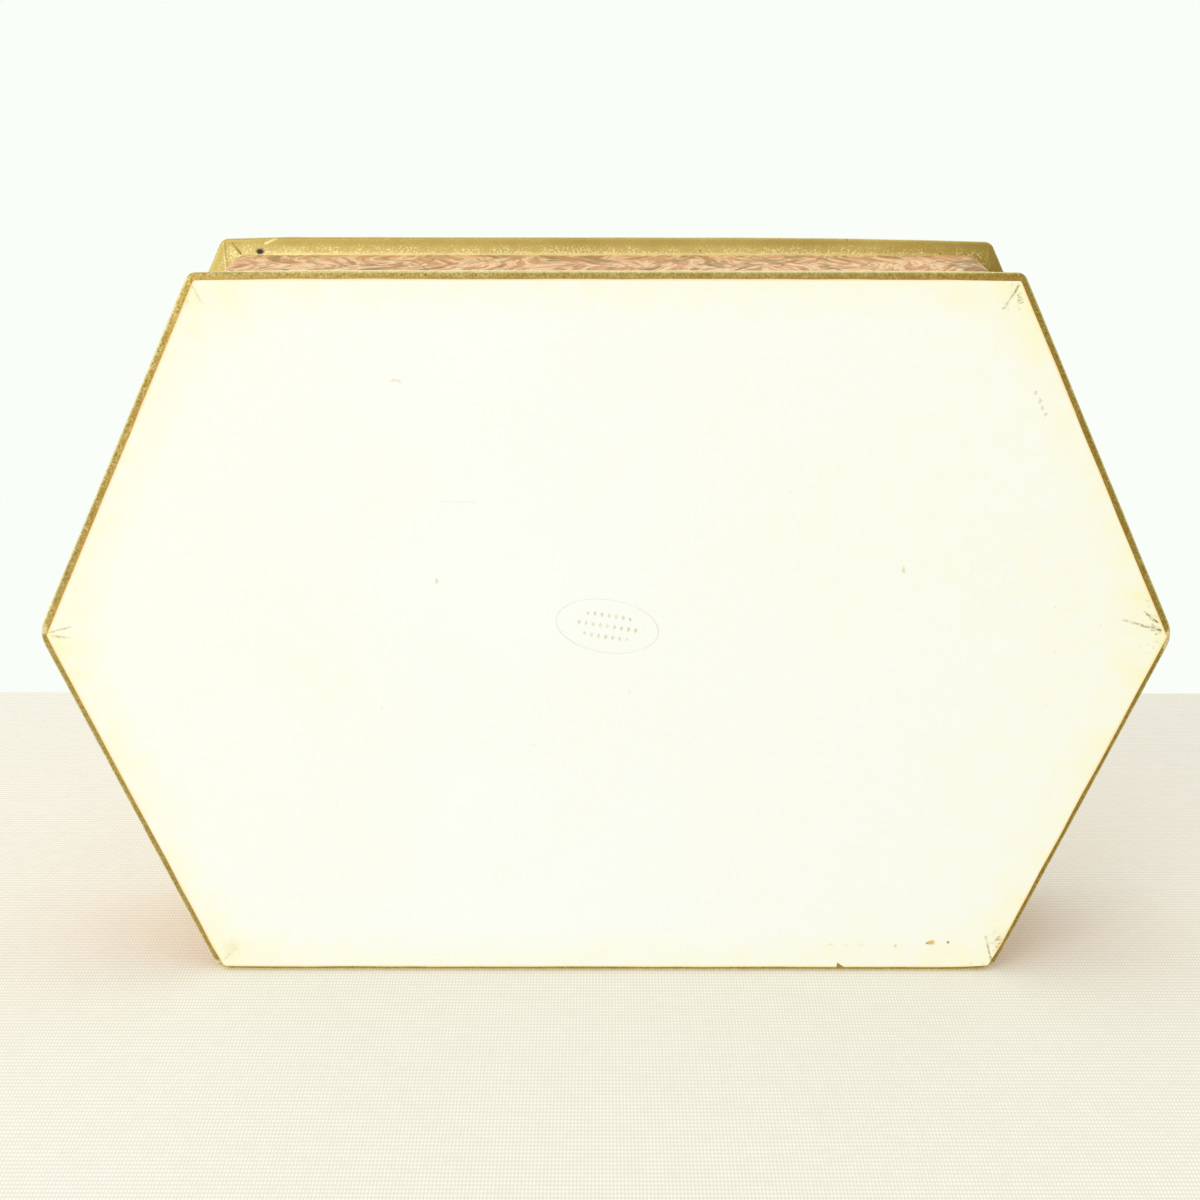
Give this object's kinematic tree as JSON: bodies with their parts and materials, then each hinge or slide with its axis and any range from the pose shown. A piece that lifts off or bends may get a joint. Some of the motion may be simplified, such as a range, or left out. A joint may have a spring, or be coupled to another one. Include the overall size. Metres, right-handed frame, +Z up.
{
  "type": "chocolate box",
  "caption": "Elongated six-sided chocolate box of paper-covered board, with a flanged base, marbled walls, gold-bound edges and a flanged lid hinged along one long side.",
  "frame": {"origin": "middle of the underside, on the surface that the box stands on", "axes": "+X along the box's length, +Y from the front towards the hinged long side, +Z up"},
  "size_m": [0.3164, 0.204, 0.0667],
  "materials": {
    "greyboard": "matte",
    "kraft_paper": "matte",
    "gold_paper": "satin metallic",
    "cream_paper": "matte",
    "marbled_paper": "satin",
    "lining_paper": "matte",
    "hinge_cloth": "woven"
  },
  "bodies": {
    "tray": {"base_board": "greyboard", "base_edging": "gold_paper", "base_paper": "cream_paper", "floor_board": "greyboard", "front_wall": "greyboard", "rear_wall": "greyboard", "front_left_wall": "greyboard", "front_right_wall": "greyboard", "rear_left_wall": "greyboard", "rear_right_wall": "greyboard", "stay_right_tip": "kraft_paper", "stay_rear_right": "kraft_paper", "stay_rear_left": "kraft_paper", "stay_left_tip": "kraft_paper", "stay_front_left": "kraft_paper", "stay_front_right": "kraft_paper", "wall_wrap": "marbled_paper", "wall_lining": "lining_paper", "floor_lining": "lining_paper", "hinge_wall_leaf": "hinge_cloth"},
    "lid": {"lid_board": "greyboard", "lid_edging": "gold_paper", "lid_paper": "marbled_paper", "lid_lining": "lining_paper", "hinge_lid_leaf": "hinge_cloth"}
  },
  "joints": [
    {"name": "lid_hinge", "type": "hinge", "parent": "tray", "child": "lid", "pos_m": [0, 0.0974, 0.0643], "axis": [-1, 0, 0], "range_deg": [0, 90]}
  ]
}
